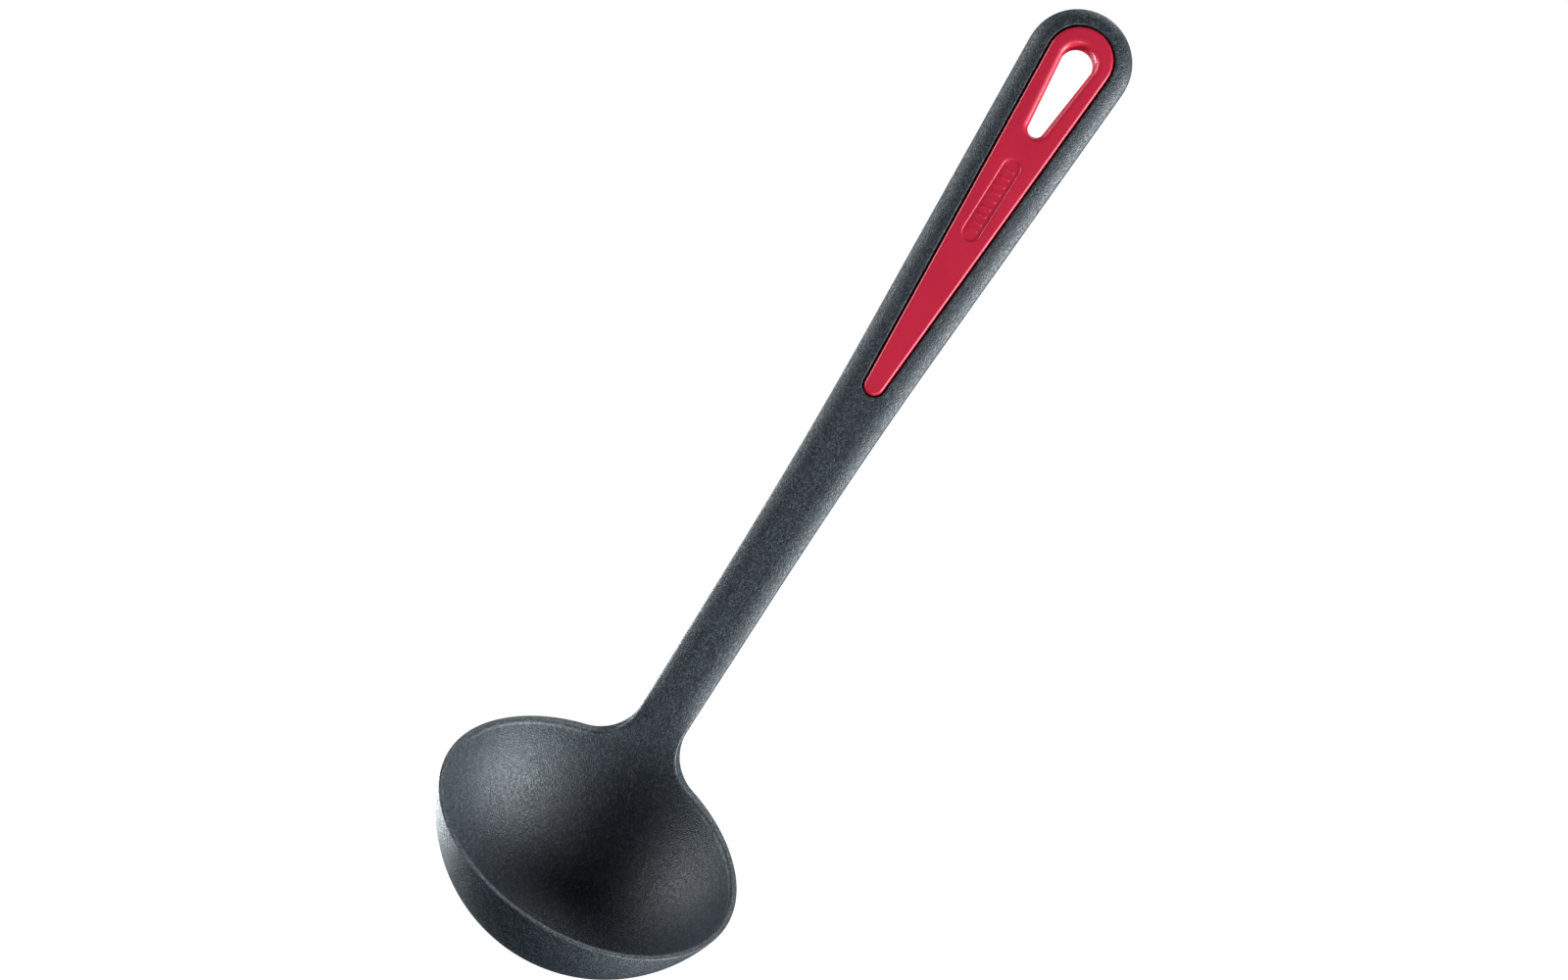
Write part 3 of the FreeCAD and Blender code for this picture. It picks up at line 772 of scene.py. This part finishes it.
def handle_insert():
    """The insert: its top with the plaque and the eye's mouth, its side and its underside."""
    mesh = Mesh()
    sides = insert_places()
    rows = plan_rows(insert_outline(-INSERT_DRAFT - INSERT_ROUNDING, sides), len(sides))
    places = np.array([row[:, 0].mean() for row in rows])
    low, high = near_rows(places[:-1], PLAQUE_X, PLAQUE_LENGTH / 2 + PLAQUE_MARGIN - PLAQUE_ROW_GAP)
    plaque_sides = np.linspace(0, 1, high - low + 1)[1:-1]
    eye_low = EYE_TIP[0] - EYE_TIP[1] - EYE_MOUTH_ROUNDING - EYE_MARGIN
    eye_row = int(np.nonzero(places < eye_low)[0][-1])
    eye_sides = np.linspace(0, 1, len(rows) - eye_row)[1:-1]
    plaque = (low, high, insert_top, PLAQUE_RINGS, plaque_loops(plaque_sides))
    eye = (eye_row, len(rows) - 1, insert_top, EYE_RINGS, mouth_loops(eye_sides))
    strip, rings = mesh.ribbon([lifted(row, insert_top) for row in rows], [plaque, eye])
    plaque_floor(mesh, rings[0], len(plaque_sides))
    side_ring = insert_side(mesh, block(strip, 0, len(strip) - 1), sides)
    underside(mesh, side_ring, rings[1], sides, eye_row, eye_sides)
    return mesh.piece("red_insert")


body = ladle_body()
insert = handle_insert()
for piece in (body, insert):
    piece.modifiers.new("Even shading", "WEIGHTED_NORMAL").keep_sharp = True


# ---- materials ----------------------------------------------------------------------------------

class Finish:
    """A material and short ways to add its nodes. Pattern sizes are in metres on the object."""

    def __init__(self, name):
        self.material = bpy.data.materials.new(name)
        self.material.use_nodes = True
        self.tree = self.material.node_tree
        self.shader = self.tree.nodes["Principled BSDF"]
        self.place = self.tree.nodes.new("ShaderNodeTexCoord").outputs["Object"]

    def link(self, source, target):
        self.tree.links.new(source, target)

    def put(self, socket, source):
        self.link(source, self.shader.inputs[socket])

    def noise(self, size, detail=2.0):
        node = self.tree.nodes.new("ShaderNodeTexNoise")
        node.inputs["Scale"].default_value = 1 / size
        node.inputs["Detail"].default_value = detail
        self.link(self.place, node.inputs["Vector"])
        return node.outputs["Fac"]

    def cells(self, size, output="Color"):
        node = self.tree.nodes.new("ShaderNodeTexVoronoi")
        node.inputs["Scale"].default_value = 1 / size
        self.link(self.place, node.inputs["Vector"])
        return node.outputs[output]

    def spread(self, source, low, high, to_low, to_high):
        node = self.tree.nodes.new("ShaderNodeMapRange")
        for name, value in (("From Min", low), ("From Max", high), ("To Min", to_low), ("To Max", to_high)):
            node.inputs[name].default_value = value
        self.link(source, node.inputs["Value"])
        return node.outputs["Result"]

    def blend(self, factor, first, second):
        """A mix of two colours, each a tuple or an output; sockets 6 and 7 are the node's colour inputs."""
        node = self.tree.nodes.new("ShaderNodeMix")
        node.data_type = "RGBA"
        self.link(factor, node.inputs["Factor"])
        for index, value in ((6, first), (7, second)):
            if isinstance(value, tuple):
                node.inputs[index].default_value = (*value, 1)
            else:
                self.link(value, node.inputs[index])
        return node.outputs[2]

    def total(self, first, second):
        node = self.tree.nodes.new("ShaderNodeMath")
        node.operation = "ADD"
        self.link(first, node.inputs[0])
        self.link(second, node.inputs[1])
        return node.outputs[0]

    def bump(self, height, depth, strength):
        node = self.tree.nodes.new("ShaderNodeBump")
        node.inputs["Distance"].default_value = depth
        node.inputs["Strength"].default_value = strength
        self.link(height, node.inputs["Height"])
        self.put("Normal", node.outputs["Normal"])


NYLON_GROUNDS = ((0.011, 0.016, 0.022), (0.014, 0.020, 0.027))
# colour of the light flecks: partly the nylon's grain, partly painted glints of the spark-eroded surface
NYLON_FLECK_AND_GLINT_TONE = (0.068, 0.082, 0.098)
NYLON_ROUGHNESS = (0.40, 0.62)
NYLON_PATCH_SIZE = 0.02
NYLON_FLECK_AND_GLINT_SIZE = 0.00045
NYLON_SHEEN_SIZE = 0.00055
NYLON_GRAIN_SIZE = 0.00035
NYLON_GRAIN_DEPTH = 0.00014
NYLON_GRAIN_STRENGTH = 0.6
NYLON_SPECULAR = 0.85


def nylon():
    """Slate-black nylon with the fine grain of a spark-eroded mould; its light flecks are partly the
    grain's own specks and partly painted glints.
    """
    finish = Finish("slate nylon")
    patches = finish.spread(finish.noise(NYLON_PATCH_SIZE), 0.35, 0.65, 0, 1)
    ground = finish.blend(patches, *NYLON_GROUNDS)
    # light flecks in the base colour: partly the nylon's own grain, partly painted glints
    flecks_and_painted_glints = finish.spread(finish.cells(NYLON_FLECK_AND_GLINT_SIZE), 0.5, 0.9, 0, 1)
    finish.put("Base Color", finish.blend(flecks_and_painted_glints, ground, NYLON_FLECK_AND_GLINT_TONE))
    finish.put("Roughness", finish.spread(finish.cells(NYLON_SHEEN_SIZE), 0.2, 0.8, *NYLON_ROUGHNESS))
    pits = finish.spread(finish.cells(NYLON_FLECK_AND_GLINT_SIZE, "Distance"), 0, 1, 1, 0)
    grain = finish.total(finish.noise(NYLON_GRAIN_SIZE, 3), pits)
    finish.bump(grain, NYLON_GRAIN_DEPTH, NYLON_GRAIN_STRENGTH)
    finish.shader.inputs["Specular IOR Level"].default_value = NYLON_SPECULAR
    return finish.material


RED_TONES = ((0.62, 0.019, 0.052), (0.68, 0.021, 0.058))
RED_ROUGHNESS = (0.32, 0.43)
RED_PATCH_SIZE = 0.012
RED_SHEEN_SIZE = 0.0009
RED_RIPPLE_SIZE = 0.0005
RED_RIPPLE_DEPTH = 0.00003
RED_RIPPLE_STRENGTH = 0.25
RED_COAT = 0.15
RED_COAT_ROUGHNESS = 0.2


def red_plastic():
    """Satin red plastic, smoother than the nylon, with faint moulding ripple."""
    finish = Finish("satin red plastic")
    patches = finish.spread(finish.noise(RED_PATCH_SIZE), 0.3, 0.7, 0, 1)
    finish.put("Base Color", finish.blend(patches, *RED_TONES))
    finish.put("Roughness", finish.spread(finish.noise(RED_SHEEN_SIZE, 3), 0.3, 0.7, *RED_ROUGHNESS))
    finish.bump(finish.noise(RED_RIPPLE_SIZE, 3), RED_RIPPLE_DEPTH, RED_RIPPLE_STRENGTH)
    finish.shader.inputs["Coat Weight"].default_value = RED_COAT
    finish.shader.inputs["Coat Roughness"].default_value = RED_COAT_ROUGHNESS
    return finish.material


body.data.materials.append(nylon())
insert.data.materials.append(red_plastic())
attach(body, "root")
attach(insert, "root")
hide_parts("ladle_body")
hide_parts("handle_insert")

# ---- the floor: seen as a lit table, but it neither lights the ladle nor shades the lamps below it ----
FLOOR_SIDE = 6.0
FLOOR_TONE = 0.05
FLOOR_GLOW = 1.0

floor_finish = Finish("pale floor")
floor_finish.shader.inputs["Base Color"].default_value = (FLOOR_TONE, FLOOR_TONE, FLOOR_TONE, 1)
floor_finish.shader.inputs["Roughness"].default_value = 0.9
floor_finish.shader.inputs["Emission Color"].default_value = (1, 1, 1, 1)
floor_finish.shader.inputs["Emission Strength"].default_value = FLOOR_GLOW
floor_mesh = bpy.data.meshes.new("floor")
side = FLOOR_SIDE / 2
floor_mesh.from_pydata([(-side, -side, 0), (side, -side, 0), (side, side, 0), (-side, side, 0)], [],
                       [(0, 1, 2, 3)])
floor_mesh.materials.append(floor_finish.material)
floor = bpy.data.objects.new("floor", floor_mesh)
bpy.context.scene.collection.objects.link(floor)
floor.visible_diffuse = False
floor.visible_glossy = False
floor.visible_shadow = False

# ---- camera -------------------------------------------------------------------------------------
CAMERA_TURNS = (4.012, -1.700, -57.797)    # degrees about x, y and z
CAMERA_PLACE = (38.07, -6.24, 1006.10)     # in the design's own frame
LENS = 78.79

camera_data = bpy.data.cameras.new("camera")
camera_data.lens = LENS
camera_data.clip_start = 0.01
camera = bpy.data.objects.new("camera", camera_data)
camera.location = (Vector(CAMERA_PLACE) + Vector((SHIFT, 0, 0))) * MM
camera.rotation_euler = [math.radians(turn) for turn in CAMERA_TURNS]
camera_right, camera_up, camera_back = camera.rotation_euler.to_matrix().transposed()
bpy.context.scene.collection.objects.link(camera)
bpy.context.scene.camera = camera


# ---- light: soft panels, three of them under the table, where they light the edges from below --------
LAMP_COLOUR = (0.89, 0.96, 1.0)


def panel(name, right, up, back, size, power):
    """A soft panel, in metres and watts, aimed at the middle; its place is in the camera's directions."""
    data = bpy.data.lights.new(name, "AREA")
    data.shape = "RECTANGLE"
    data.size, data.size_y = size
    data.energy = power
    data.color = LAMP_COLOUR
    light = bpy.data.objects.new(name, data)
    light.location = camera_right * right + camera_up * up + camera_back * back
    light.rotation_euler = light.location.to_track_quat("Z", "Y").to_euler()
    bpy.context.scene.collection.objects.link(light)


panel("key", 1.0, -0.4, 0.23, (0.55, 0.55), 19)
panel("upper key", 0.8, -0.25, 0.65, (0.8, 0.8), 4.5)
panel("left fill", -0.82, 0.57, 0.2, (0.8, 0.4), 11)
panel("low front", 0.1, -0.75, 0.65, (0.5, 0.5), 4)
panel("table end", 0.5, 0.8, -0.34, (0.7, 0.4), 5)
panel("table left", -0.75, 0.05, -0.65, (0.5, 0.5), 13)
panel("table right", 0.35, -0.93, -0.16, (0.4, 0.3), 3.5)

# the backdrop: seen, but only the lamps light the ladle
world = bpy.data.worlds.new("studio")
bpy.context.scene.world = world
world.use_nodes = True
world.node_tree.nodes["Background"].inputs["Color"].default_value = (1, 1, 1, 1)
world.node_tree.nodes["Background"].inputs["Strength"].default_value = 1.0
world.cycles_visibility.diffuse = False
world.cycles_visibility.glossy = False
world.cycles_visibility.transmission = False
bpy.context.scene.view_settings.view_transform = "Standard"
